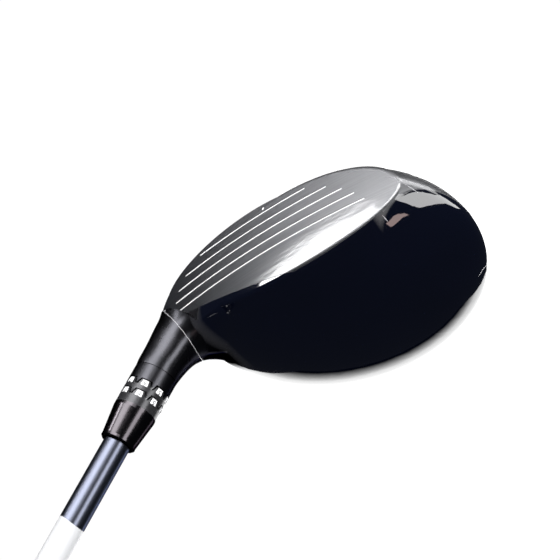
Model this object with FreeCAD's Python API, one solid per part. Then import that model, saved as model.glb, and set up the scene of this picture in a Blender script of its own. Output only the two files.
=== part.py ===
import FreeCAD, Part
import math
import os

# Fairway wood with an adjustable loft sleeve, in millimetres, +Z up.
# The origin is where the sole rests on the ground at address, +X runs to the heel,
# -Y is the way the face looks, and the shaft rises from the heel towards +X.

V = FreeCAD.Vector
os.makedirs("parts", exist_ok=True)

# ---- driving dimensions: head ----
HEAD_HALF_LENGTH = 50.0      # heel to toe, half
HEAD_HALF_DEPTH = 41.5       # front to back of the uncut outline, half
RIM_HEIGHT = 24.2            # height of the widest line above the ground
CROWN_RISE = 15.3            # crown apex above the widest line
CROWN_POWER = 1.8            # how full the crown section is
SOLE_POWER = 2.07            # how full the sole section is
SOLE_FLAT_CUT = 0.15         # depth of the flat that the club rests on
FACE_CENTRE = V(0, -27.5, 19.8)
LOFT = 15.0
SEAM_TURN = 120.0
FACE_RADIUS = 330.0          # bulge and roll
FACE_EDGE_RADIUS = 1.6
FACE_THICKNESS = 2.4
CUP_DEPTH = 5.0              # how far the face cup wraps back
CUP_HEEL_X = 34.0
BODY_WALL = 1.7
CROWN_WALL = 0.9
LEDGE_WALL = 1.1             # lip under the crown that it is bonded to
LEDGE_WIDTH = 4.5
LEDGE_RISE = 0.6             # the ledge's inner edge rises by this share of its width
SEAM_HEIGHT = 24.6           # crown seam height at y = 0
SEAM_SLOPE = 0.09
NECK_CLEAR_RADIUS = 13.5     # the crown stops this far from the hosel axis

# ---- driving dimensions: score lines ----
LINE_Z = [10.4, 14.0, 17.6, 21.2, 24.8]
LINE_HEEL_X = [35.5, 43.0, 46.8, 48.6, 49.2]
LINE_TOE_X = [-9.3, -16.9, -22.2, -26.1, -29.1]
LINE_WIDTH = 0.62
LINE_DEPTH = 0.35
DOT_PLACE = (7.3, 8.9)       # x and z of the centre dot
DOT_RADIUS = 0.55

# ---- driving dimensions: hosel, along the shaft axis from the ground ----
LIE = 60.0
HOSEL_GROUND = V(33.3, -18.1, 0)
NECK_TOP = 50.3
NECK_SECTIONS = [            # height, then reach to the heel, front, crown and back
    (NECK_TOP, 7.2, 7.2, 7.2, 7.2),
    (45.0, 7.7, 7.3, 7.7, 8.1),
    (40.0, 8.3, 7.4, 8.4, 9.9),
    (36.0, 8.9, 7.5, 9.7, 13.0),
    (32.5, 9.4, 7.6, 12.4, 17.6),
    (29.5, 10.2, 8.2, 17.0, 24.0),
    (26.5, 10.7, 8.8, 22.0, 29.6),
    (21.0, 10.3, 9.0, 25.0, 30.5),
    (15.5, 9.3, 8.4, 25.0, 24.5),
    (10.0, 8.0, 6.8, 20.0, 14.0),
    (6.0, 5.8, 5.2, 12.0, 7.5),
    (3.6, 3.0, 3.0, 4.0, 3.5),
]
NECK_SHOULDER = (26.0, 36.0)  # the neck stands out in front of the face above this shallow cone
FACE_STEP = 0.03             # the keel and the neck's foot sit this far behind the face
KEEL_PLACE = (14.0, 20.5)    # x and z of the middle of the keel's sections
KEEL_SECTIONS = [            # y, then half-width and half-height
    (-33.0, 38.0, 13.8),
    (-28.0, 39.0, 13.8),
    (-24.0, 39.2, 15.3),
    (-18.0, 38.5, 17.5),
    (-8.0, 33.0, 18.8),
]
KEEL_TOP = 22.5
COLLAR_TOP = 57.6
LOWER_COG_TOP = 61.4
UPPER_COG_TOP = 64.6
FERRULE_TOP = 76.6
RING_RADIUS = 7.15
GROOVE_DEPTH = 0.25          # of the fine groove between the neck and the collar
GROOVE_WIDTH = 0.3
FERRULE_TOP_RADIUS = 5.9
HOSEL_BORE = 5.55
HOSEL_WALL = 1.35            # of the hosel tube inside the head
FERRULE_RING = 1.3
FERRULE_CHAMFER = 0.5
FERRULE_BAND = 1.0           # straight part at the ferrule's foot
SLEEVE_RADIUS = 5.5
STEM_RADIUS = 3.7            # the sleeve's slim lower part, which the screw threads into
STEM_TOP = 30.4
STEM_GAP = 0.3               # between the sleeve's step and the step in the bore
FIT = 0.05
TOOTH_COUNT = 8
TOOTH_HEIGHT = 1.7
TOOTH_ROOT_ANGLE = 27.0      # degrees of arc at the tooth's root
TOOTH_TIP_ANGLE = 17.0
TOOTH_GAP = 0.3

# ---- driving dimensions: screws ----
SCREW_HEAD_BASE = 11.4
SCREW_HEAD_LENGTH = 3.6
SCREW_HEAD_RADIUS = 4.0
SCREW_SEAT = 15.84           # underside of the seat that the washer bears on
SCREW_CLEARANCE = 0.3
WASHER_GAP = 0.02
COUNTERBORE = 4.5
SOCKET_RADIUS = 2.25
SOCKET_DEPTH = 2.4
SEAT_TOP = 18.6
SLEEVE_BOTTOM = 19.2
SCREW_TIP = 28.2
SCREW_RADIUS = 2.5
WEIGHT_PLACE = V(0, 21.5, 3.1)
WEIGHT_TILT = 19.0           # follows the slope of the sole
WEIGHT_HEAD_RADIUS = 7.0
WEIGHT_HEAD_LENGTH = 3.0
WEIGHT_THREAD_RADIUS = 4.5
WEIGHT_THREAD_LENGTH = 6.0
RECESS_DEPTH = 3.66          # from the sole surface to the seat of the sealing washer
BOSS_RADIUS = 9.0
BOSS_TOP = 10.0

# ---- driving dimensions: pieces inside the head ----
BAR_TOE_X = -20.0
BAR_HEEL_X = 14.0
BAR_BACK_Y = -12.0
BAR_TOP = 6.8
PAD_CENTRE = V(-24, 10, -14)
PAD_RADIUS = 24.0

# ---- driving dimensions: shaft and grip, along the shaft axis ----
SHAFT_TIP = 32.0
SHAFT_TIP_RADIUS = 4.4
SHAFT_PARALLEL_END = 120.0
SHAFT_BUTT = 1082.0
SHAFT_BUTT_RADIUS = 7.6
SHAFT_WALL = 1.2
GRIP_MOUTH = 818.0
GRIP_MOUTH_RADIUS = 8.7
GRIP_BUTT_RADIUS = 13.4
CAP_RADIUS = 15.6
CAP_BOTTOM = 1078.0
CAP_TOP = 1087.0
TAPE_THICKNESS = 0.2
VENT_RADIUS = 1.5


def along_hosel(shape):
    """Moves a shape drawn upwards from the origin on to the shaft axis."""
    moved = shape.copy()
    moved.Placement = FreeCAD.Placement(HOSEL_GROUND, FreeCAD.Rotation(V(0, 1, 0), 90 - LIE))
    return moved


def revolve(points):
    """Solid of revolution about +Z from (radius, height) points."""
    corners = [V(r, 0, z) for r, z in points]
    wire = Part.makePolygon(corners + [corners[0]])
    return Part.Face(wire).revolve(V(0, 0, 0), V(0, 0, 1), 360)


def tube(outer, inner, low, high):
    return revolve([(inner, low), (outer, low), (outer, high), (inner, high)])


def rod(radius, low, high):
    return Part.makeCylinder(radius, high - low, V(0, 0, low))


def save(shape, name):
    solids = shape.Solids
    if not solids:
        raise ValueError(name + " has no solid")
    kept = [s for s in solids if s.Volume > 0.05]
    result = kept[0] if len(kept) == 1 else Part.makeCompound(kept)
    result.exportStep("parts/" + name + ".step")
    print(name, len(kept), result.isValid())


# ---- head forms ----
def head_form(inset):
    """The egg-shaped form of the head, shrunk all round by an inset."""
    rise = CROWN_RISE - inset
    drop = RIM_HEIGHT + SOLE_FLAT_CUT - inset
    length = HEAD_HALF_LENGTH - inset
    steps = 12
    places = [V(0, 0, -drop)]
    for step in range(1, steps):
        radius = math.sin(math.pi / 2 * step / steps)
        places.append(V(length * radius, 0, -drop * (1 - radius ** SOLE_POWER) ** (1 / SOLE_POWER)))
    places.append(V(length, 0, 0))
    for step in range(steps - 1, 0, -1):
        radius = math.sin(math.pi / 2 * step / steps)
        places.append(V(length * radius, 0, rise * (1 - radius ** 2) ** (1 / CROWN_POWER)))
    places.append(V(0, 0, rise))
    line = Part.BSplineCurve()
    line.interpolate(places, InitialTangent=V(1, 0, 0), FinalTangent=V(-1, 0, 0))
    axis = Part.makeLine(V(0, 0, rise), V(0, 0, -drop))
    profile = Part.Face(Part.Wire([line.toShape(), axis]))
    profile.rotate(V(0, 0, 0), V(0, 0, 1), SEAM_TURN)
    turned = profile.revolve(V(0, 0, 0), V(0, 0, 1), 360)
    if turned.Volume < 0:
        turned.reverse()
    matrix = FreeCAD.Matrix()
    matrix.scale(V(1, (HEAD_HALF_DEPTH - inset) / length, 1))
    form = turned.transformGeometry(matrix)
    form.translate(V(0, 0, RIM_HEIGHT))
    return form


def face_ball(inset):
    tilt = math.radians(LOFT)
    normal = V(0, -math.cos(tilt), math.sin(tilt))
    centre = FACE_CENTRE - normal * FACE_RADIUS
    return Part.makeSphere(FACE_RADIUS - inset, centre)


def neck_section(height, heel, front, crown, back):
    """One closed section square to the shaft axis, with its own reach on each side."""
    places = []
    for step in range(16):
        angle = 2 * math.pi * step / 16
        across = -math.cos(angle)
        deep = -math.sin(angle)
        reach_x = crown if across < 0 else heel
        reach_y = back if deep > 0 else front
        places.append(V(across * reach_x, deep * reach_y, height))
    line = Part.BSplineCurve()
    line.interpolate(places, PeriodicFlag=True)
    return Part.Wire(line.toShape())


def neck_form():
    """Hosel neck: slim at the top, flaring into the crown and the back of the head."""
    sections = [neck_section(*row) for row in NECK_SECTIONS]
    return along_hosel(Part.makeLoft(sections, True, False))


def hosel_rod(radius, low, high):
    return along_hosel(rod(radius, low, high))


def in_weight_port(shape):
    """Moves a shape drawn upwards from the origin into the tilted weight port."""
    moved = shape.copy()
    moved.Placement = FreeCAD.Placement(WEIGHT_PLACE, FreeCAD.Rotation(V(1, 0, 0), WEIGHT_TILT))
    return moved


def big_box(low, high):
    return Part.makeBox(high.x - low.x, high.y - low.y, high.z - low.z, low)


def cut_all(shape, tools):
    for tool in tools:
        shape = shape.cut(tool)
    return shape


def drive_socket(radius, low, high):
    """Six-lobed socket for the wrench."""
    socket = rod(radius * 0.82, low, high)
    for step in range(6):
        angle = math.radians(60 * step)
        lobe = rod(radius * 0.24, low, high)
        lobe.translate(V(radius * 0.76 * math.cos(angle), radius * 0.76 * math.sin(angle), 0))
        socket = socket.fuse(lobe)
    return socket


# ---- head shell ----
def keel_form():
    """Fullness behind the heel half of the leading edge."""
    x, z = KEEL_PLACE
    wires = []
    for y, half_width, half_height in KEEL_SECTIONS:
        ellipse = Part.Ellipse(V(x, y, z), half_width, half_height)
        ellipse.Axis = V(0, -1, 0)
        ellipse.XAxis = V(1, 0, 0)
        wires.append(Part.Wire(ellipse.toShape()))
    return Part.makeLoft(wires, True, False)


def outer_form():
    """Outside of the head: egg and keel cut by the face, and the neck, whole above its shoulder."""
    egg = head_form(0).common(face_ball(0))
    rim = [e for e in egg.Edges if e.Length > HEAD_HALF_LENGTH and e.BoundBox.YMax < FACE_CENTRE.y / 2]
    egg = egg.makeFillet(FACE_EDGE_RADIUS, rim)
    behind_face = face_ball(FACE_STEP)
    low_half = big_box(V(-HEAD_HALF_LENGTH, -60, -5), V(80, 20, KEEL_TOP))
    keel = keel_form().common(behind_face).common(low_half)
    low, high = NECK_SHOULDER
    shoulder = Part.makeCone(0, 20, high - low, V(0, 0, low), V(0, 0, 1))
    in_front = along_hosel(rod(60, -30, high).cut(shoulder)).cut(behind_face)
    neck = neck_form().cut(in_front)
    return egg.fuse(keel).fuse(neck).cut(big_box(V(-80, -80, -10), V(80, 80, 0)))


def score_cuts():
    band = big_box(V(-60, -60, 5), V(60, 0, 30)).cut(face_ball(LINE_DEPTH))
    cuts = []
    for z, heel, toe in zip(LINE_Z, LINE_HEEL_X, LINE_TOE_X):
        slot = big_box(V(toe, -60, z - LINE_WIDTH / 2), V(heel, -HEAD_HALF_DEPTH / 4, z + LINE_WIDTH / 2))
        cuts.append(slot.common(band))
    dot = Part.makeCylinder(DOT_RADIUS, 40, V(DOT_PLACE[0], -60, DOT_PLACE[1]), V(0, 1, 0))
    cuts.append(dot.common(band))
    return cuts


def hollow_form():
    """The empty space inside the head, with the hosel tube left standing in it."""
    hollow = head_form(BODY_WALL).common(face_ball(FACE_THICKNESS))
    return hollow.cut(hosel_rod(HOSEL_BORE + HOSEL_WALL, -5, NECK_TOP + 5))


def crown_zone(inset):
    """Everything above the crown seam, behind the face cup and clear of the neck."""
    zone = big_box(V(-90, -90, 0), V(90, 90, 60))
    zone.rotate(V(0, 0, 0), V(1, 0, 0), math.degrees(math.atan(SEAM_SLOPE)))
    zone.translate(V(0, 0, SEAM_HEIGHT + inset * LEDGE_RISE))
    zone = zone.common(face_ball(CUP_DEPTH + inset))
    return zone.cut(hosel_rod(NECK_CLEAR_RADIUS + inset, -20, 90))


def cup_zone():
    front = big_box(V(-80, -60, -5), V(CUP_HEEL_X, 0, 60))
    return front.cut(face_ball(CUP_DEPTH))


def hosel_cuts():
    return [
        hosel_rod(COUNTERBORE, -10, SCREW_SEAT),
        hosel_rod(SCREW_RADIUS + SCREW_CLEARANCE, SCREW_SEAT - 1, SEAT_TOP + 1),
        hosel_rod(STEM_RADIUS + FIT, SEAT_TOP, STEM_TOP),
        hosel_rod(HOSEL_BORE, STEM_TOP - STEM_GAP, NECK_TOP + 10),
    ]


def build_head():
    outer = outer_form()
    hollow = hollow_form()
    whole = cut_all(outer, score_cuts())
    cup = whole.common(cup_zone()).cut(hollow)
    save(cup, "face_cup")

    zone = crown_zone(0)
    crown = outer.common(zone).cut(head_form(CROWN_WALL))
    save(crown, "crown")

    ledge = head_form(CROWN_WALL).cut(head_form(CROWN_WALL + LEDGE_WALL))
    ledge = ledge.common(zone).cut(crown_zone(LEDGE_WIDTH))
    body = whole.cut(hollow).cut(zone).cut(cup_zone()).fuse(ledge)
    port = in_weight_port(rod(BOSS_RADIUS, -15, BOSS_TOP - 1))
    body = cut_all(body, hosel_cuts() + [port])
    save(body, "head_body")

    boss = in_weight_port(rod(BOSS_RADIUS, -15, BOSS_TOP)).common(head_form(0))
    boss = boss.cut(in_weight_port(rod(WEIGHT_HEAD_RADIUS + 0.2, -20, RECESS_DEPTH)))
    boss = boss.cut(in_weight_port(rod(WEIGHT_THREAD_RADIUS + FIT, 0, 40)))
    save(boss, "weight_boss")

    bar = hollow.common(big_box(V(BAR_TOE_X, -40, 0), V(BAR_HEEL_X, BAR_BACK_Y, BAR_TOP)))
    save(bar, "forward_weight")
    pad = hollow.common(Part.makeSphere(PAD_RADIUS, PAD_CENTRE))
    save(pad, "damping_pad")


# ---- hosel rings ----
def tooth(radius_in, radius_out, low, high, grow):
    """One tapered tooth pointing down the shaft, drawn at azimuth 0."""
    root = math.radians(TOOTH_ROOT_ANGLE) / 2 + grow / radius_out
    tip = math.radians(TOOTH_TIP_ANGLE) / 2 + grow / radius_out
    reach = radius_out + 2
    bottom = low - grow
    corners = [V(reach, -reach * math.tan(tip), bottom), V(reach, reach * math.tan(tip), bottom),
               V(reach, reach * math.tan(root), high), V(reach, -reach * math.tan(root), high)]
    face = Part.Face(Part.makePolygon(corners + [corners[0]]))
    wedge = face.extrude(V(-(reach - radius_in + 2), 0, 0))
    return wedge.common(tube(radius_out, radius_in, bottom, high))


def teeth(radius_in, radius_out, low, high, grow=0.0):
    first = tooth(radius_in, radius_out, low, high, grow)
    ring = []
    for step in range(TOOTH_COUNT):
        one = first.copy()
        one.rotate(V(0, 0, 0), V(0, 0, 1), 360 / TOOTH_COUNT * step)
        ring.append(one)
    return ring


def toothed_ring(low, high, inner, notched):
    """A ring with teeth below its lower edge and, where notched, pockets in its upper edge."""
    ring = tube(RING_RADIUS, inner, low + TOOTH_GAP, high)
    for one in teeth(inner, RING_RADIUS, low - TOOTH_HEIGHT, low + TOOTH_GAP + 0.1):
        ring = ring.fuse(one)
    if notched:
        ring = cut_all(ring, teeth(inner - 1, RING_RADIUS + 1, high - TOOTH_HEIGHT, high + 0.1, TOOTH_GAP))
    return ring.removeSplitter()


def build_rings():
    groove = RING_RADIUS - GROOVE_DEPTH
    groove_top = NECK_TOP + GROOVE_WIDTH
    collar = revolve([(HOSEL_BORE, NECK_TOP), (groove, NECK_TOP), (groove, groove_top),
                      (RING_RADIUS, groove_top), (RING_RADIUS, COLLAR_TOP), (HOSEL_BORE, COLLAR_TOP)])
    pocket_floor = COLLAR_TOP - TOOTH_HEIGHT
    pockets = teeth(HOSEL_BORE - 1, RING_RADIUS + 1, pocket_floor, COLLAR_TOP + 0.1, TOOTH_GAP)
    save(along_hosel(cut_all(collar, pockets)), "hosel_collar")
    save(along_hosel(toothed_ring(COLLAR_TOP, LOWER_COG_TOP, SLEEVE_RADIUS + FIT, True)), "lower_cog")
    save(along_hosel(toothed_ring(LOWER_COG_TOP, UPPER_COG_TOP, SLEEVE_RADIUS, False)), "upper_cog")


# ---- shaft side ----
def shaft_radius(height):
    along = (height - SHAFT_PARALLEL_END) / (SHAFT_BUTT - SHAFT_PARALLEL_END)
    return SHAFT_TIP_RADIUS + max(along, 0) * (SHAFT_BUTT_RADIUS - SHAFT_TIP_RADIUS)


def build_shaft():
    stations = [SHAFT_TIP, SHAFT_PARALLEL_END, SHAFT_BUTT]
    outside = [(shaft_radius(z), z) for z in stations]
    inside = [(shaft_radius(z) - SHAFT_WALL, z) for z in reversed(stations)]
    save(along_hosel(revolve(outside + inside)), "shaft")
    save(hosel_rod(SHAFT_TIP_RADIUS - SHAFT_WALL - FIT, SHAFT_TIP, SHAFT_TIP + 10), "shaft_tip_plug")

    sleeve = rod(STEM_RADIUS, SLEEVE_BOTTOM, STEM_TOP + 1).fuse(rod(SLEEVE_RADIUS, STEM_TOP, UPPER_COG_TOP))
    sleeve = sleeve.cut(rod(SCREW_RADIUS, SLEEVE_BOTTOM - 1, SCREW_TIP + 0.8))
    sleeve = sleeve.cut(rod(SHAFT_TIP_RADIUS + FIT, SHAFT_TIP - 0.2, UPPER_COG_TOP + 1))
    save(along_hosel(sleeve), "shaft_sleeve")

    bore = SHAFT_TIP_RADIUS + FIT
    lip = FERRULE_TOP_RADIUS
    ring_base = FERRULE_TOP - FERRULE_RING
    ferrule = revolve([(bore, UPPER_COG_TOP), (RING_RADIUS, UPPER_COG_TOP),
                       (RING_RADIUS, UPPER_COG_TOP + FERRULE_BAND), (lip, ring_base), (bore, ring_base)])
    save(along_hosel(ferrule), "ferrule")
    ring = revolve([(bore, ring_base), (lip, ring_base), (lip, FERRULE_TOP - FERRULE_CHAMFER),
                    (lip - FERRULE_CHAMFER, FERRULE_TOP), (bore, FERRULE_TOP)])
    save(along_hosel(ring), "ferrule_end_ring")


def build_grip():
    def bed(z):
        return shaft_radius(z) + TAPE_THICKNESS

    tape_low = GRIP_MOUTH + 6
    tape = [(shaft_radius(tape_low), tape_low), (bed(tape_low), tape_low),
            (bed(SHAFT_BUTT), SHAFT_BUTT), (shaft_radius(SHAFT_BUTT), SHAFT_BUTT)]
    save(along_hosel(revolve(tape)), "grip_tape")

    grip = [(bed(GRIP_MOUTH), GRIP_MOUTH), (GRIP_MOUTH_RADIUS - 0.6, GRIP_MOUTH),
            (GRIP_MOUTH_RADIUS, GRIP_MOUTH + 0.8), (GRIP_MOUTH_RADIUS, GRIP_MOUTH + 6),
            (GRIP_BUTT_RADIUS, CAP_BOTTOM - 6), (CAP_RADIUS - 0.5, CAP_BOTTOM),
            (bed(SHAFT_BUTT), CAP_BOTTOM)]
    save(along_hosel(revolve(grip)), "grip")

    cap = revolve([(VENT_RADIUS, SHAFT_BUTT), (bed(SHAFT_BUTT), SHAFT_BUTT), (bed(SHAFT_BUTT), CAP_BOTTOM),
                   (CAP_RADIUS - 0.5, CAP_BOTTOM), (CAP_RADIUS, CAP_BOTTOM + 0.8),
                   (CAP_RADIUS, CAP_TOP - 2.0), (CAP_RADIUS - 0.8, CAP_TOP - 0.6),
                   (CAP_RADIUS - 2.2, CAP_TOP), (VENT_RADIUS, CAP_TOP)])
    save(along_hosel(cap), "grip_cap")


# ---- screws ----
def build_screws():
    screw = rod(SCREW_HEAD_RADIUS, SCREW_HEAD_BASE, SCREW_HEAD_BASE + SCREW_HEAD_LENGTH)
    screw = screw.fuse(rod(SCREW_RADIUS - FIT, SCREW_HEAD_BASE + SCREW_HEAD_LENGTH, SCREW_TIP))
    screw = screw.cut(drive_socket(SOCKET_RADIUS, SCREW_HEAD_BASE - 1, SCREW_HEAD_BASE + SOCKET_DEPTH))
    save(along_hosel(screw), "hosel_screw")
    washer = tube(SCREW_HEAD_RADIUS + 0.2, SCREW_RADIUS + FIT,
                  SCREW_HEAD_BASE + SCREW_HEAD_LENGTH + WASHER_GAP, SCREW_SEAT - 2 * WASHER_GAP)
    save(along_hosel(washer), "screw_washer")

    thread_top = WEIGHT_HEAD_LENGTH + WEIGHT_THREAD_LENGTH
    weight = rod(WEIGHT_HEAD_RADIUS, -8, WEIGHT_HEAD_LENGTH)
    weight = weight.fuse(rod(WEIGHT_THREAD_RADIUS, WEIGHT_HEAD_LENGTH, thread_top))
    weight = in_weight_port(weight).common(head_form(0.2))
    weight = weight.cut(in_weight_port(drive_socket(SOCKET_RADIUS, -8, SOCKET_DEPTH)))
    save(weight, "rear_weight")
    seal = tube(WEIGHT_HEAD_RADIUS - 0.5, WEIGHT_THREAD_RADIUS + 0.1,
                WEIGHT_HEAD_LENGTH + WASHER_GAP, RECESS_DEPTH - 2 * WASHER_GAP)
    save(in_weight_port(seal), "weight_washer")


build_head()
build_rings()
build_shaft()
build_grip()
build_screws()
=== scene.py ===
import math

import bmesh
import bpy
from mathutils import Matrix, Vector
from mathutils.bvhtree import BVHTree


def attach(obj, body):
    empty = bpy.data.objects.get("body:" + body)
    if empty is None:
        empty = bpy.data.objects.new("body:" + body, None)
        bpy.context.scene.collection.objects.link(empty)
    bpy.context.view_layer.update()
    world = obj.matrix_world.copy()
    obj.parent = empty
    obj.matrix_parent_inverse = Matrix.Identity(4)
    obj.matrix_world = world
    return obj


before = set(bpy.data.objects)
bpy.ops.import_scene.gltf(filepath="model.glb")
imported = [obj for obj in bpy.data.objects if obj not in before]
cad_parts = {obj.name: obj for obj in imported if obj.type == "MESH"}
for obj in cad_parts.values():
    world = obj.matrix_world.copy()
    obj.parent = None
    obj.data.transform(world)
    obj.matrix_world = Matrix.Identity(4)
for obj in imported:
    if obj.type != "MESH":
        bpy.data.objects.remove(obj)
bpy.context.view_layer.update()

# ---- the head's driving lines, as the CAD source has them, in metres ----
FACE_RADIUS = 0.330
LOFT = math.radians(15)
FACE_NORMAL = Vector((0, -math.cos(LOFT), math.sin(LOFT)))
FACE_CENTRE = Vector((0, -0.0275, 0.0198))
BALL_CENTRE = FACE_CENTRE - FACE_NORMAL * FACE_RADIUS
LINE_DEPTH = 0.00035       # of a score line's groove
LINE_WIDTH = 0.00062
SCORE_LINES = (            # height, heel end, toe end
    (0.0104, 0.0355, -0.0093),
    (0.0140, 0.0430, -0.0169),
    (0.0176, 0.0468, -0.0222),
    (0.0212, 0.0486, -0.0261),
    (0.0248, 0.0492, -0.0291),
)
DOT_PLACE = (0.0073, 0.0089)   # x and height
DOT_RADIUS = 0.00045

# ---- the shaft's axis ----
LIE = math.radians(60)
HOSEL_GROUND = Vector((0.0333, -0.0181, 0))
SHAFT_AXIS = Vector((math.cos(LIE), 0, math.sin(LIE)))
SHAFT_SIDE = Vector((math.sin(LIE), 0, -math.cos(LIE)))
SHAFT_BACK = Vector((0, 1, 0))
RING_RADIUS = 0.00715
TOOTH_COUNT = 8
LABEL_ROWS = (             # ring, its body, height of the tabs up the shaft axis
    ("lower_cog", "lower_cog", 0.0572),
    ("upper_cog", "shaft_assembly", 0.0610),
)


def on_shaft(radius, azimuth, height):
    """A point at a radius and angle about the shaft's axis, and a height along it."""
    around = SHAFT_SIDE * math.cos(azimuth) + SHAFT_BACK * math.sin(azimuth)
    return HOSEL_GROUND + SHAFT_AXIS * height + around * radius


# ---- materials ----
NOISE_SPAN = (0.3, 0.7)       # nearly all of a noise's values lie in this span


def new_material(name):
    """A material with its node tree and its surface shader."""
    material = bpy.data.materials.new(name)
    material.use_nodes = True
    tree = material.node_tree
    return material, tree, tree.nodes["Principled BSDF"]


def set_surface(shader, colour, metallic, roughness, **more):
    """Sets the shader's own values, which hold wherever no node feeds a socket."""
    shader.inputs["Base Color"].default_value = (*colour, 1)
    shader.inputs["Metallic"].default_value = metallic
    shader.inputs["Roughness"].default_value = roughness
    for name, value in more.items():
        shader.inputs[name.replace("_", " ")].default_value = value


def node(tree, kind, **values):
    """A new node with some of its sockets or settings given by name."""
    made = tree.nodes.new(kind)
    for name, value in values.items():
        if name in made.inputs:
            made.inputs[name].default_value = value
        else:
            setattr(made, name, value)
    return made


def object_place(tree):
    return node(tree, "ShaderNodeTexCoord").outputs["Object"]


def noise(tree, scale, detail=2.0, stretch=(1, 1, 1)):
    """Noise in the piece's own coordinates."""
    mapping = node(tree, "ShaderNodeMapping")
    mapping.inputs["Scale"].default_value = stretch
    tree.links.new(object_place(tree), mapping.inputs["Vector"])
    made = node(tree, "ShaderNodeTexNoise", Scale=scale, Detail=detail)
    tree.links.new(mapping.outputs["Vector"], made.inputs["Vector"])
    return made.outputs["Fac"]


def remap(tree, value, low, high, to_low, to_high):
    """Moves a value from one span to another, and keeps it inside the second."""
    made = node(tree, "ShaderNodeMapRange")
    made.inputs["From Min"].default_value = low
    made.inputs["From Max"].default_value = high
    made.inputs["To Min"].default_value = to_low
    made.inputs["To Max"].default_value = to_high
    tree.links.new(value, made.inputs["Value"])
    return made.outputs["Result"]


def mix_colour(tree, share, first, second):
    made = node(tree, "ShaderNodeMix", data_type="RGBA")
    tree.links.new(share, made.inputs["Factor"])
    for socket, value in ((made.inputs[6], first), (made.inputs[7], second)):
        if isinstance(value, tuple):
            socket.default_value = (*value, 1)
        else:
            tree.links.new(value, socket)
    return made.outputs[2]


def feed(tree, value, shader, socket):
    """Lets a node's output set one of the shader's sockets."""
    tree.links.new(value, shader.inputs[socket])


def bump(tree, shader, height, strength, distance):
    made = node(tree, "ShaderNodeBump", Strength=strength, Distance=distance)
    tree.links.new(height, made.inputs["Height"])
    feed(tree, made.outputs["Normal"], shader, "Normal")


def vary_roughness(tree, shader, scale, low, high):
    share = noise(tree, scale, 3)
    feed(tree, remap(tree, share, *NOISE_SPAN, low, high), shader, "Roughness")


def compare(tree, value, limit, softness):
    """0 below a limit and 1 above it, with a soft step."""
    return remap(tree, value, limit - softness / 2, limit + softness / 2, 0, 1)


def below(tree, value, limit, softness):
    """1 below a limit and 0 above it, with a soft step."""
    return remap(tree, value, limit - softness / 2, limit + softness / 2, 1, 0)


def calculate(tree, operation, first, second=None):
    """A Math node on one or two sockets."""
    made = node(tree, "ShaderNodeMath", operation=operation)
    tree.links.new(first, made.inputs[0])
    if second is not None:
        tree.links.new(second, made.inputs[1])
    return made.outputs["Value"]


def times(tree, first, second):
    return calculate(tree, "MULTIPLY", first, second)


def larger(tree, first, second):
    return calculate(tree, "MAXIMUM", first, second)


def along(tree, direction_vector):
    """How far a point of the piece lies along a direction."""
    made = node(tree, "ShaderNodeVectorMath", operation="DOT_PRODUCT")
    tree.links.new(object_place(tree), made.inputs[0])
    made.inputs[1].default_value = direction_vector
    return made.outputs["Value"]


def blend_value(tree, share, first, second):
    """A number that goes from first to second; either may be a socket."""
    made = node(tree, "ShaderNodeMix", data_type="FLOAT")
    tree.links.new(share, made.inputs["Factor"])
    for socket, value in ((made.inputs["A"], first), (made.inputs["B"], second)):
        if isinstance(value, (int, float)):
            socket.default_value = value
        else:
            tree.links.new(value, socket)
    return made.outputs["Result"]


def distance_from_ball(tree):
    """How far a point of the piece is from the centre of the face's sphere."""
    away = node(tree, "ShaderNodeVectorMath", operation="DISTANCE")
    tree.links.new(object_place(tree), away.inputs[0])
    away.inputs[1].default_value = BALL_CENTRE
    return away.outputs["Value"]


PROUD_LIMIT = 0.000085        # the machined face stands out of its sphere by no more than this
SUNK_LIMIT = 0.00028          # deeper than this is the bottom of a score line
TOPLINE_SLOPE = 0.208         # the face's top edge drops this much to the heel
TOPLINE_HEIGHT = 0.0366
RIM_SLOPE = 0.6               # the black rim line at the toe climbs this steeply
RIM_HEIGHT = 0.0522
RETURN_DEPTH = 0.024          # the bare steel goes this far behind the face at the toe
RETURN_X = -0.033             # and starts here, towards the toe
SEAM_HEIGHT = 0.03387         # up the shaft axis: the film ends here and the neck turns satin
SEAM_TO_HEEL = -0.554         # the film's edge drops towards the heel by this slope
SEAM_TO_BACK = 0.1765
SEAM_NORMAL = SHAFT_AXIS - SHAFT_SIDE * SEAM_TO_HEEL - SHAFT_BACK * SEAM_TO_BACK
SCALLOPS = 5                  # arcs round the shaft where the navy paint ends
SCALLOP_PHASE = 1.25
SCALLOP_TOP = 0.1077          # up the shaft axis, at the cusps
SCALLOP_BOTTOM = 0.1050       # and in the middle of an arc
LACQUER = (0.0009, 0.0014, 0.0040)
WHITE_PAINT = (0.47, 0.475, 0.485)
SATIN = (0.05, 0.05, 0.056)   # how much satin black mirrors face on
DARK_EDGE = (0.06, 0.06, 0.07)  # and at a grazing angle
GROUND_ALONG = SHAFT_AXIS.dot(HOSEL_GROUND)  # where the shaft axis meets the ground, along itself
SHOULDER_RADIUS = 0.0112      # about the shaft axis, around the neck's foot
SHOULDER_HEIGHT = 0.0252
FLARE_X = 0.040               # the flare at the back of the neck starts here
FLARE_Y = 0.005


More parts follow.
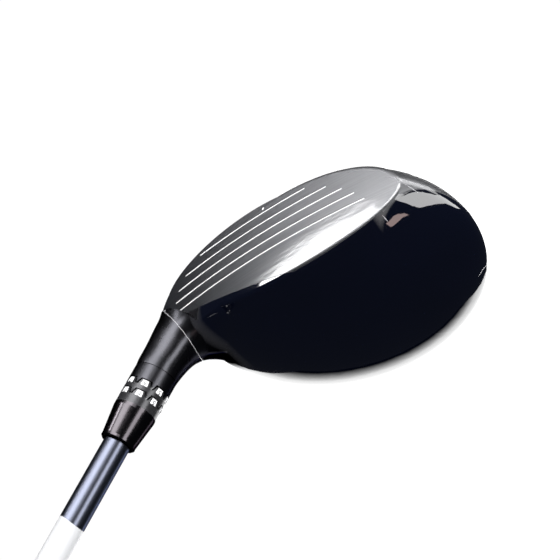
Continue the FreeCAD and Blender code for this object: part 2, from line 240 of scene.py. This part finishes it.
def steel_mask(tree):
    """1 on the milled face, and on the bare return that wraps round the toe."""
    ball = distance_from_ball(tree)
    not_sunk = compare(tree, ball, FACE_RADIUS - SUNK_LIMIT, 0.0001)
    not_proud = below(tree, ball, FACE_RADIUS + PROUD_LIMIT, 0.00007)
    below_top = below(tree, along(tree, (TOPLINE_SLOPE, 0, 1)), TOPLINE_HEIGHT, 0.0002)
    face = times(tree, times(tree, not_sunk, not_proud), below_top)
    below_rim = below(tree, along(tree, (-RIM_SLOPE, 0, 1)), RIM_HEIGHT, 0.0006)
    near_face = compare(tree, ball, FACE_RADIUS - RETURN_DEPTH, 0.0006)
    at_toe = below(tree, along(tree, (1, 0, 0)), RETURN_X, 0.006)
    wrap = times(tree, times(tree, below_rim, near_face), times(tree, at_toe, not_proud))
    return face, larger(tree, face, wrap)


def neck_mask(tree):
    """1 on the bare satin neck and its shoulder, and on the shaded flare behind it."""
    seam = SEAM_NORMAL.dot(HOSEL_GROUND) + SEAM_HEIGHT
    above_film = compare(tree, along(tree, SEAM_NORMAL), seam, 0.0003)
    arm = node(tree, "ShaderNodeVectorMath", operation="SUBTRACT")
    tree.links.new(object_place(tree), arm.inputs[0])
    arm.inputs[1].default_value = HOSEL_GROUND
    cross = node(tree, "ShaderNodeVectorMath", operation="CROSS_PRODUCT")
    tree.links.new(arm.outputs["Vector"], cross.inputs[0])
    cross.inputs[1].default_value = SHAFT_AXIS
    away = node(tree, "ShaderNodeVectorMath", operation="LENGTH")
    tree.links.new(cross.outputs["Vector"], away.inputs[0])
    close = below(tree, away.outputs["Value"], SHOULDER_RADIUS, 0.0012)
    high = compare(tree, along(tree, SHAFT_AXIS), GROUND_ALONG + SHOULDER_HEIGHT, 0.0005)
    satin = larger(tree, above_film, times(tree, close, high))
    at_heel = compare(tree, along(tree, (1, 0, 0)), FLARE_X, 0.005)
    forward = below(tree, along(tree, (0, 1, 0)), FLARE_Y, 0.006)
    return satin, times(tree, at_heel, forward)


def head_look():
    """The head's one look: milled steel with painted shade at the heel and a painted highlight
    towards the toe, gloss lacquer, and satin on the neck.
    """
    material, tree, shader = new_material("head_lacquer_and_steel")
    set_surface(shader, LACQUER, 0, 0.05, IOR=1.5)
    face, steel = steel_mask(tree)
    on_neck, on_flare = neck_mask(tree)
    shaded = larger(tree, on_neck, on_flare)
    lacquer = mix_colour(tree, noise(tree, 30), LACQUER, (0.0013, 0.0019, 0.0062))
    paint = mix_colour(tree, shaded, lacquer, SATIN)
    grain = noise(tree, 55, 3, (1, 1, 40))
    # painted light: the milled steel is painted darker at the heel (painted shade) and lighter
    # towards the toe (painted highlight), with the steel's real grain mixed into both
    toe_highlight_share = remap(tree, along(tree, (1, 0, 0)), 0.05, -0.05, 0.0, 1.0)
    heel_grain_in_painted_shade = mix_colour(tree, grain, (0.036, 0.037, 0.043), (0.068, 0.069, 0.076))
    toe_grain_in_painted_highlight = mix_colour(tree, grain, (0.17, 0.172, 0.18), (0.27, 0.272, 0.28))
    milled_steel_with_painted_light = mix_colour(tree, toe_highlight_share, heel_grain_in_painted_shade, toe_grain_in_painted_highlight)
    feed(tree, mix_colour(tree, steel, paint, milled_steel_with_painted_light), shader, "Base Color")
    feed(tree, larger(tree, steel, shaded), shader, "Metallic")
    edge_tint = mix_colour(tree, shaded, (1.0, 1.0, 1.0), DARK_EDGE)
    feed(tree, mix_colour(tree, steel, edge_tint, (1.0, 1.0, 1.0)), shader, "Specular Tint")
    gloss = remap(tree, noise(tree, 60, 3), *NOISE_SPAN, 0.03, 0.06)
    satin = remap(tree, noise(tree, 90, 3), *NOISE_SPAN, 0.25, 0.31)
    paint_rough = blend_value(tree, on_neck, gloss, satin)
    feed(tree, blend_value(tree, steel, paint_rough, 0.42), shader, "Roughness")
    under_film = blend_value(tree, shaded, 1.0, 0.0)
    feed(tree, larger(tree, steel, under_film), shader, "Coat Weight")
    feed(tree, blend_value(tree, steel, 0.03, 0.07), shader, "Coat Roughness")
    wave = node(tree, "ShaderNodeTexWave", Scale=520, Distortion=1.0, Detail=1.0,
                bands_direction="Z")
    wave.inputs["Detail Scale"].default_value = 3
    tree.links.new(object_place(tree), wave.inputs["Vector"])
    bump(tree, shader, times(tree, wave.outputs["Fac"], face), 0.3, 0.00003)
    wrinkle = node(tree, "ShaderNodeBump", Strength=0.10, Distance=0.0004)
    tree.links.new(times(tree, noise(tree, 110, 3, (0.5, 1, 1.6)), steel), wrinkle.inputs["Height"])
    feed(tree, wrinkle.outputs["Normal"], shader, "Coat Normal")
    return material


def satin_black():
    """Dark mirror with a dark edge tint, so that it doesn't turn white at a grazing angle."""
    material, tree, shader = new_material("satin_black_paint")
    set_surface(shader, SATIN, 1, 0.28, Specular_Tint=(*DARK_EDGE, 1))
    bump(tree, shader, noise(tree, 2500, 3), 0.10, 0.0001)
    vary_roughness(tree, shader, 90, 0.25, 0.31)
    return material


def plain_metal(name, colour, roughness, grain=400):
    material, tree, shader = new_material(name)
    set_surface(shader, colour, 1, roughness)
    darker = tuple(0.75 * c for c in colour)
    feed(tree, mix_colour(tree, noise(tree, grain, 3), darker, colour), shader, "Base Color")
    vary_roughness(tree, shader, grain, roughness - 0.05, roughness + 0.08)
    bump(tree, shader, noise(tree, grain * 5, 3), 0.08, 0.0001)
    return material


def ferrule_plastic():
    material, tree, shader = new_material("ferrule_plastic")
    set_surface(shader, (0.06, 0.055, 0.06), 1, 0.13, Specular_Tint=(*DARK_EDGE, 1))
    vary_roughness(tree, shader, 150, 0.15, 0.2)
    bump(tree, shader, noise(tree, 1800, 2), 0.03, 0.0001)
    return material


def ring_metal():
    material, tree, shader = new_material("anodised_ring")
    set_surface(shader, (0.045, 0.045, 0.048), 0.6, 0.24)
    vary_roughness(tree, shader, 300, 0.2, 0.28)
    bump(tree, shader, noise(tree, 2500, 2), 0.06, 0.0001)
    return material


def shaft_paint():
    """Navy metallic near the tip, and white above a scalloped edge."""
    material, tree, shader = new_material("shaft_paint")
    set_surface(shader, (0.08, 0.095, 0.15), 1, 0.3, Specular_Tint=(0.04, 0.045, 0.07, 1))
    side_start, back_start = SHAFT_SIDE.dot(HOSEL_GROUND), SHAFT_BACK.dot(HOSEL_GROUND)
    side = remap(tree, along(tree, SHAFT_SIDE), 0, 1, -side_start, 1 - side_start)
    behind = remap(tree, along(tree, SHAFT_BACK), 0, 1, -back_start, 1 - back_start)
    around = calculate(tree, "ARCTAN2", behind, side)
    half_turn = math.pi * SCALLOPS / 2
    turns = remap(tree, around, -math.pi, math.pi,
                  SCALLOP_PHASE - half_turn, SCALLOP_PHASE + half_turn)
    scallop = calculate(tree, "ABSOLUTE", calculate(tree, "SINE", turns))
    edge = remap(tree, scallop, 0, 1, GROUND_ALONG + SCALLOP_TOP, GROUND_ALONG + SCALLOP_BOTTOM)
    white = calculate(tree, "GREATER_THAN", along(tree, SHAFT_AXIS), edge)
    flake = mix_colour(tree, noise(tree, 5000, 1), (0.095, 0.103, 0.135), (0.13, 0.14, 0.18))
    feed(tree, mix_colour(tree, white, flake, WHITE_PAINT), shader, "Base Color")
    feed(tree, remap(tree, white, 0, 1, 1, 0), shader, "Metallic")
    feed(tree, remap(tree, white, 0, 1, 0.3, 0.35), shader, "Roughness")
    return material


def rubber():
    material, tree, shader = new_material("grip_rubber")
    set_surface(shader, (0.018, 0.018, 0.019), 0, 0.75)
    feed(tree, mix_colour(tree, noise(tree, 120), (0.013, 0.013, 0.014), (0.024, 0.024, 0.025)),
         shader, "Base Color")
    bump(tree, shader, noise(tree, 1500, 3), 0.3, 0.0002)
    return material


def white_fill():
    material, tree, shader = new_material("white_fill_paint")
    set_surface(shader, (0.85, 0.85, 0.86), 0, 0.5)
    feed(tree, mix_colour(tree, noise(tree, 900), (0.72, 0.72, 0.74), (0.9, 0.9, 0.9)),
         shader, "Base Color")
    return material


def dark_ink():
    material, tree, shader = new_material("dark_ink")
    set_surface(shader, (0.01, 0.01, 0.012), 0, 0.5)
    feed(tree, mix_colour(tree, noise(tree, 2000), (0.006, 0.006, 0.007), (0.02, 0.02, 0.022)),
         shader, "Base Color")
    return material


def film_plastic():
    """Drawn, whitened edge of the clear shrink film."""
    material, tree, shader = new_material("clear_film_edge")
    set_surface(shader, (0.6, 0.6, 0.62), 0, 0.2, Coat_Weight=0.5)
    feed(tree, mix_colour(tree, noise(tree, 400), (0.2, 0.2, 0.215), (0.62, 0.62, 0.64)),
         shader, "Base Color")
    return material


MATERIALS = {
    "film": film_plastic(),
    "head": head_look(),
    "satin": satin_black(),
    "ferrule": ferrule_plastic(),
    "ring": ring_metal(),
    "shaft": shaft_paint(),
    "rubber": rubber(),
    "steel": plain_metal("screw_steel", (0.26, 0.26, 0.268), 0.32),
    "dark_steel": plain_metal("dark_steel", (0.09, 0.09, 0.095), 0.32),
    "brass": plain_metal("washer_brass", (0.6, 0.45, 0.22), 0.35),
    "white": white_fill(),
    "ink": dark_ink(),
}
NODE_LOOKS = {
    "face_cup": "head",
    "crown": "head",
    "head_body": "head",
    "weight_boss": "dark_steel",
    "forward_weight": "dark_steel",
    "damping_pad": "rubber",
    "hosel_collar": "satin",
    "lower_cog": "ring",
    "upper_cog": "ring",
    "shaft": "shaft",
    "shaft_tip_plug": "rubber",
    "shaft_sleeve": "steel",
    "ferrule": "ferrule",
    "ferrule_end_ring": "ferrule",
    "grip_tape": "white",
    "grip": "rubber",
    "grip_cap": "rubber",
    "hosel_screw": "steel",
    "screw_washer": "brass",
    "rear_weight": "steel",
    "weight_washer": "rubber",
}
for name, look in NODE_LOOKS.items():
    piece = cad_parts[name]
    piece.data.materials.clear()
    piece.data.materials.append(MATERIALS[look])


# ---- pieces ----
def new_piece(name, points, faces, look, body):
    mesh = bpy.data.meshes.new(name)
    mesh.from_pydata(points, [], faces)
    mesh.validate()
    made = bmesh.new()
    made.from_mesh(mesh)
    bmesh.ops.recalc_face_normals(made, faces=made.faces)
    made.to_mesh(mesh)
    made.free()
    mesh.shade_smooth()
    piece = bpy.data.objects.new(name, mesh)
    bpy.context.scene.collection.objects.link(piece)
    mesh.materials.append(MATERIALS[look])
    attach(piece, body)
    return piece


def slab(rings_low, rings_high):
    """Points and faces of a thin slab between two equal grids of points (lists of rows)."""
    rows, columns = len(rings_low), len(rings_low[0])
    points = [p for row in rings_low for p in row] + [p for row in rings_high for p in row]
    count = rows * columns
    faces = []
    for r in range(rows - 1):
        for c in range(columns - 1):
            a = r * columns + c
            faces.append((a, a + 1, a + columns + 1, a + columns))
            faces.append((a + count + columns, a + columns + 1 + count, a + 1 + count, a + count))
    edge = [(0, c) for c in range(columns)] + [(r, columns - 1) for r in range(1, rows)]
    edge += [(rows - 1, c) for c in range(columns - 2, -1, -1)]
    edge += [(r, 0) for r in range(rows - 2, 0, -1)]
    loop = [r * columns + c for r, c in edge]
    for first, second in zip(loop, loop[1:] + loop[:1]):
        faces.append((second, first, first + count, second + count))
    return points, faces


def on_face(x, z, depth):
    """The point of the face sphere at x and z, sunk by a depth."""
    radius = FACE_RADIUS - depth
    side = radius ** 2 - (x - BALL_CENTRE.x) ** 2 - (z - BALL_CENTRE.z) ** 2
    return Vector((x, BALL_CENTRE.y - math.sqrt(side), z))


PAINT_TOP = 0.00012           # the white fill ends this far below the face
PAINT_SHARE = 0.37            # half of its width, as a share of the score line's
PAINT_HALF = LINE_WIDTH * PAINT_SHARE
LINE_STEPS = 48
for index, (z, heel, toe) in enumerate(SCORE_LINES):
    low, high = [], []
    for step in range(LINE_STEPS + 1):
        x = toe + (heel - toe) * step / LINE_STEPS
        for rows, depth in ((low, LINE_DEPTH), (high, PAINT_TOP)):
            rows.append([on_face(x, z - PAINT_HALF, depth), on_face(x, z + PAINT_HALF, depth)])
    points, faces = slab(low, high)
    new_piece(f"score_paint_{index + 1}", points, faces, "white", "head")

DOT_STEPS = 20
dot_points = []
for step in range(DOT_STEPS):
    angle = 2 * math.pi * step / DOT_STEPS
    dot_points.append(on_face(DOT_PLACE[0] + DOT_RADIUS * math.cos(angle),
                              DOT_PLACE[1] + DOT_RADIUS * math.sin(angle), PAINT_TOP))
new_piece("score_paint_dot", dot_points, [tuple(range(DOT_STEPS))], "white", "head")


TAB_ROWS, TAB_COLUMNS = 5, 7   # of points
TAB_BELOW = 0.0011             # the tip is this far below the middle of a digit
TAB_LENGTH = 0.0019
TAB_HALF_ANGLES = (7.6, 9.6)   # degrees, at the tip and at the root
TAB_SUNK = 0.0001              # the tab's back and front, from the ring's surface
TAB_PROUD = 0.00005
DIGIT_SIZE = 0.0021
DIGIT_THINNER = -0.00001       # moves the strokes' outlines inwards
DIGIT_THICKNESS = 0.00006
DIGIT_PROUD = 0.00007          # middle of the stroke's thickness, from the ring's surface


def label_plate(name, row_height, azimuth, body):
    """White tab on a tooth of a ring, wider at its root."""
    low, high = [], []
    narrow, wide = TAB_HALF_ANGLES
    for row in range(TAB_ROWS):
        share = row / (TAB_ROWS - 1)
        height = row_height - TAB_BELOW + TAB_LENGTH * share
        half_angle = math.radians(narrow + (wide - narrow) * share)
        angles = [azimuth + half_angle * (2 * column / (TAB_COLUMNS - 1) - 1)
                  for column in range(TAB_COLUMNS)]
        low.append([on_shaft(RING_RADIUS - TAB_SUNK, a, height) for a in angles])
        high.append([on_shaft(RING_RADIUS + TAB_PROUD, a, height) for a in angles])
    points, faces = slab(low, high)
    return new_piece(name, points, faces, "white", body)


def digit(name, text, row_height, azimuth, body):
    """Raised figure wrapped round a ring."""
    curve = bpy.data.curves.new(name + "_outline", "FONT")
    curve.body = text
    curve.align_x = "CENTER"
    curve.align_y = "CENTER"
    curve.size = DIGIT_SIZE
    curve.offset = DIGIT_THINNER
    curve.extrude = DIGIT_THICKNESS
    helper = bpy.data.objects.new(name + "_outline", curve)
    bpy.context.scene.collection.objects.link(helper)
    shown = helper.evaluated_get(bpy.context.evaluated_depsgraph_get())
    flat = bpy.data.meshes.new_from_object(shown)
    points = [on_shaft(RING_RADIUS + DIGIT_PROUD + v.co.z, azimuth + v.co.x / RING_RADIUS,
                       row_height + v.co.y)
              for v in flat.vertices]
    faces = [tuple(p.vertices) for p in flat.polygons]
    bpy.data.objects.remove(helper)
    bpy.data.meshes.remove(flat)
    return new_piece(name, points, faces, "ink", body)


for ring, body, height in LABEL_ROWS:
    for step in range(TOOTH_COUNT):
        azimuth = 2 * math.pi * step / TOOTH_COUNT
        label_plate(f"{ring}_tab_{step + 1}", height, azimuth, body)
        digit(f"{ring}_digit_{step + 1}", str(step + 1), height, azimuth, body)


# ---- edge and creases of the clear film that the head is wrapped in ----
def head_surface():
    """One search tree over the outside of the head."""
    points, faces = [], []
    for name in ("head_body", "face_cup", "crown"):
        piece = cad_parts[name]
        first = len(points)
        points += [piece.matrix_world @ v.co for v in piece.data.vertices]
        faces += [tuple(first + k for k in p.vertices) for p in piece.data.polygons]
    return BVHTree.FromPolygons(points, faces)


THREAD_SIDES = 6
THREAD_END = 0.25              # how thick an open thread's ends are, as a share of its middle


def ripple(waves, at):
    """Sum of sines, each given by its height, rate and start."""
    return sum(height * math.sin(rate * at + start) for height, rate, start in waves)


def thread(name, path, radius, look, closed=False):
    """A thin round thread through points, tapered to its ends unless it is closed."""
    sides = THREAD_SIDES
    count = len(path)
    points = []
    across = None
    for k, place in enumerate(path):
        after = path[(k + 1) % count] if closed else path[min(k + 1, count - 1)]
        before = path[k - 1] if closed else path[max(k - 1, 0)]
        forward = (after - before).normalized()
        if across is None:
            across = forward.orthogonal().normalized()
        else:
            across = (across - forward * across.dot(forward)).normalized()
        upright = forward.cross(across)
        size = radius
        if not closed:
            size *= THREAD_END + (1 - THREAD_END) * math.sin(math.pi * k / (count - 1))
        for j in range(sides):
            angle = 2 * math.pi * j / sides
            points.append(place + (across * math.cos(angle) + upright * math.sin(angle)) * size)
    faces = []
    for k in range(count if closed else count - 1):
        for j in range(sides):
            a, b = k * sides, ((k + 1) % count) * sides
            faces.append((a + j, a + (j + 1) % sides, b + (j + 1) % sides, b + j))
    if not closed:
        faces += [tuple(range(sides - 1, -1, -1)), tuple(range((count - 1) * sides, count * sides))]
    return new_piece(name, points, faces, look, "head")


surface = head_surface()
SEAM_STEPS = 120
SEAM_REACH = 0.05             # the search for the surface starts this far from the shaft axis
SEAM_THREAD = 0.0001
SEAM_BULGE = 0.0011           # the edge bows this much towards the head
SEAM_BULGE_AT = math.radians(213)
SEAM_BULGE_POWER = 1.5
SEAM_WAVES = ((0.00006, 17, 0), (0.00004, 41, 1))
seam_path = []
for step in range(SEAM_STEPS):
    azimuth = 2 * math.pi * step / SEAM_STEPS
    slope = SEAM_TO_HEEL * math.cos(azimuth) + SEAM_TO_BACK * math.sin(azimuth)
    bulge = max(0, math.cos(azimuth - SEAM_BULGE_AT)) ** SEAM_BULGE_POWER
    height = SEAM_HEIGHT - SEAM_BULGE * bulge
    outside = on_shaft(SEAM_REACH, azimuth, height + slope * SEAM_REACH)
    inward = on_shaft(0, azimuth, height) - outside
    hit = surface.ray_cast(outside, inward.normalized())[0]
    seam_path.append(hit + SHAFT_AXIS * ripple(SEAM_WAVES, azimuth))
thread("film_edge", seam_path, SEAM_THREAD, "film", closed=True)

FILM_CREASES = {               # where folds of the film lie on the head
    "toe_fold": ((-0.0375, -0.025, 0.021), (-0.041, -0.0237, 0.0233), (-0.0443, -0.0192, 0.0241),
                 (-0.0471, -0.0139, 0.0246)),
    "toe_fold_branch": ((-0.0395, -0.0243, 0.0222), (-0.0418, -0.0212, 0.0252),
                        (-0.0445, -0.0165, 0.0268)),
    "toe_scratch": ((-0.033, -0.021, 0.032), (-0.0333, -0.0182, 0.0329)),
    "rear_crinkle": ((-0.0409, 0.0184, 0.0292), (-0.0427, 0.0176, 0.0279),
                     (-0.0443, 0.0179, 0.0263)),
    "rear_crinkle_branch": ((-0.0402, 0.0214, 0.0280), (-0.0428, 0.0209, 0.0262)),
    "heel_crinkle": ((0.0500, -0.0262, 0.0262), (0.0508, -0.0257, 0.0251),
                     (0.0514, -0.0248, 0.0240)),
}
CREASE_STEPS = 10              # between two given points
CREASE_THREAD = 0.0001
CREASE_WAVES = ((0.00008, 2.3, 0), (0.00005, 5.1, 1))
for name, corners in FILM_CREASES.items():
    path = []
    for start, end in zip(corners, corners[1:]):
        for step in range(CREASE_STEPS):
            share = step / CREASE_STEPS
            guess = Vector(start).lerp(Vector(end), share)
            guess.z += ripple(CREASE_WAVES, len(path))
            path.append(surface.find_nearest(guess)[0])
    thread(f"film_{name}", path, CREASE_THREAD, "film")


# ---- floor, backdrop and light ----
def emitter(name, colour, strength):
    material = bpy.data.materials.new(name)
    material.use_nodes = True
    tree = material.node_tree
    tree.nodes.remove(tree.nodes["Principled BSDF"])
    glow = node(tree, "ShaderNodeEmission", Strength=strength)
    glow.inputs["Color"].default_value = (*colour, 1)
    tree.links.new(glow.outputs["Emission"], tree.nodes["Material Output"].inputs["Surface"])
    return material


def direction(azimuth, elevation):
    """Unit vector: azimuth 0 is the way the face looks, 90 is to the heel."""
    a, e = math.radians(azimuth), math.radians(elevation)
    return Vector((math.sin(a) * math.cos(e), -math.cos(a) * math.cos(e), math.sin(e)))


CARD_DISTANCE = 3.0
CARD_COLUMNS = 16
CARD_STEPS = 4                 # rows of faces between two given elevations


def card(name, outline, strength, colour=(1, 1, 1), fade=None):
    """A glowing studio panel, a patch of a wide sphere, that only reflections and light see.

    The outline has one row for each elevation: the elevation, then the azimuths of its two ends.
    """
    rows = []
    for start, end in zip(outline, outline[1:]):
        for step in range(CARD_STEPS):
            share = step / CARD_STEPS
            rows.append([a + (b - a) * share for a, b in zip(start, end)])
    rows.append(outline[-1])
    points = [direction(left + (right - left) * c / CARD_COLUMNS, elevation) * CARD_DISTANCE
              for elevation, left, right in rows for c in range(CARD_COLUMNS + 1)]
    faces = []
    for r in range(len(rows) - 1):
        for c in range(CARD_COLUMNS):
            a = r * (CARD_COLUMNS + 1) + c
            faces.append((a, a + 1, a + CARD_COLUMNS + 2, a + CARD_COLUMNS + 1))
    mesh = bpy.data.meshes.new(name)
    mesh.from_pydata(points, [], faces)
    panel = bpy.data.objects.new(name, mesh)
    bpy.context.scene.collection.objects.link(panel)
    glow = emitter(name + "_glow", colour, strength)
    if fade:
        tree = glow.node_tree
        height = node(tree, "ShaderNodeSeparateXYZ")
        tree.links.new(object_place(tree), height.inputs["Vector"])
        low, high = (CARD_DISTANCE * math.sin(math.radians(e)) for e in fade)
        fading = remap(tree, height.outputs["Z"], low, high, strength, 0)
        feed(tree, fading, tree.nodes["Emission"], "Strength")
    mesh.materials.append(glow)
    panel.visible_camera = False
    panel.visible_shadow = False
    return panel


# The floor and the backdrop are plain white and even. The panels stand where the highlights on
# the lacquer, the face's top edge and the toe call for them.
FLOOR_HALF = 12.0
FLOOR_HEIGHT = -3.5            # far enough down to see the sole from below
STAGE_STRENGTH = 1.02          # just white


def stage_white(name, mesh):
    """A white part of the stage that reflections and shadows leave out."""
    sheet = bpy.data.objects.new(name, mesh)
    bpy.context.scene.collection.objects.link(sheet)
    mesh.materials.append(emitter(name + "_white", (1, 1, 1), STAGE_STRENGTH))
    sheet.visible_glossy = False
    sheet.visible_shadow = False
    return sheet


floor_mesh = bpy.data.meshes.new("floor")
floor_corners = [(x * FLOOR_HALF, y * FLOOR_HALF, FLOOR_HEIGHT)
                 for x, y in ((-1, -1), (1, -1), (1, 1), (-1, 1))]
floor_mesh.from_pydata(floor_corners, [], [(0, 1, 2, 3)])
stage_white("floor", floor_mesh)

wall = bmesh.new()
bmesh.ops.create_uvsphere(wall, u_segments=48, v_segments=24, radius=FLOOR_HALF)
wall_mesh = bpy.data.meshes.new("backdrop")
wall.to_mesh(wall_mesh)
wall.free()
backdrop = stage_white("backdrop", wall_mesh)
backdrop.visible_diffuse = False

card("front_softbox", ((-19, -32, 11), (8, -32, 11)), 8.0)
card("front_softbox_wing", ((-8, -48, -33), (12, -48, -33)), 2.5)
card("topline_strip", ((-20.2, 14, 22), (-19.3, 14, 30), (-18.6, 11, 33), (-15.5, 9, 35)), 18.0)
card("toe_panel", ((-31, -118, -95), (-15, -109, -88), (-1, -99, -78), (8, -97, -74),
                   (26, -93, -70), (43, -91, -66), (50, -88, -66)), 5.5)
card("toe_low_panel", ((-52, -94, -22), (-24, -94, -22)), 3.2)
card("rear_cyclorama", ((-75, 110, 192), (-10, 120, 192), (6, 130, 186), (16, 136, 180)), 3.0,
     fade=(2, 14))
card("warm_patch", ((63, -96, -87), (70, -98, -86), (77, -106, -97)), 3.4, (1, 0.74, 0.7))

KEY_SIZE = 2.0
KEY_POWER = 60
KEY_DISTANCE = 2.2
KEY_DIRECTION = (-40, 55)      # azimuth and elevation
WORLD_COLOUR = (0.02, 0.022, 0.028)
key = bpy.data.lights.new("key", "AREA")
key.shape = "DISK"
key.size = KEY_SIZE
key.energy = KEY_POWER
key_light = bpy.data.objects.new("key", key)
bpy.context.scene.collection.objects.link(key_light)
key_place = direction(*KEY_DIRECTION) * KEY_DISTANCE
key_turn = key_place.to_track_quat("Z", "Y").to_matrix().to_4x4()
key_light.matrix_world = Matrix.Translation(key_place) @ key_turn
key_light.visible_glossy = False
key_light.visible_camera = False

world = bpy.data.worlds.new("studio")
bpy.context.scene.world = world
world.use_nodes = True
world.node_tree.nodes["Background"].inputs["Color"].default_value = (*WORLD_COLOUR, 1)
world.node_tree.nodes["Background"].inputs["Strength"].default_value = 1.0
bpy.context.scene.view_settings.view_transform = "Standard"

# ---- camera ----
AIM = Vector((0.02125, -0.00399, 0.01034))
CAMERA_AZIMUTH = -42.184
CAMERA_ELEVATION = 47.568
CAMERA_ROLL = -175.553
CAMERA_DISTANCE = 0.4976
CAMERA_LENS = 97.11            # mm, on a sensor of this width
SENSOR_WIDTH = 36
CAMERA_CLIP_END = 60

back = direction(CAMERA_AZIMUTH, CAMERA_ELEVATION)
camera_turn = math.radians(CAMERA_AZIMUTH)
flat_right = Vector((math.cos(camera_turn), math.sin(camera_turn), 0))
level_up = back.cross(flat_right)
turn = math.radians(CAMERA_ROLL)
right = flat_right * math.cos(turn) + level_up * math.sin(turn)
up = back.cross(right)
camera_data = bpy.data.cameras.new("camera")
camera_data.lens = CAMERA_LENS
camera_data.sensor_width = SENSOR_WIDTH
camera_data.clip_end = CAMERA_CLIP_END
camera = bpy.data.objects.new("camera", camera_data)
bpy.context.scene.collection.objects.link(camera)
place = AIM + back * CAMERA_DISTANCE
camera.matrix_world = Matrix.Translation(place) @ Matrix((right, up, back)).transposed().to_4x4()
bpy.context.scene.camera = camera
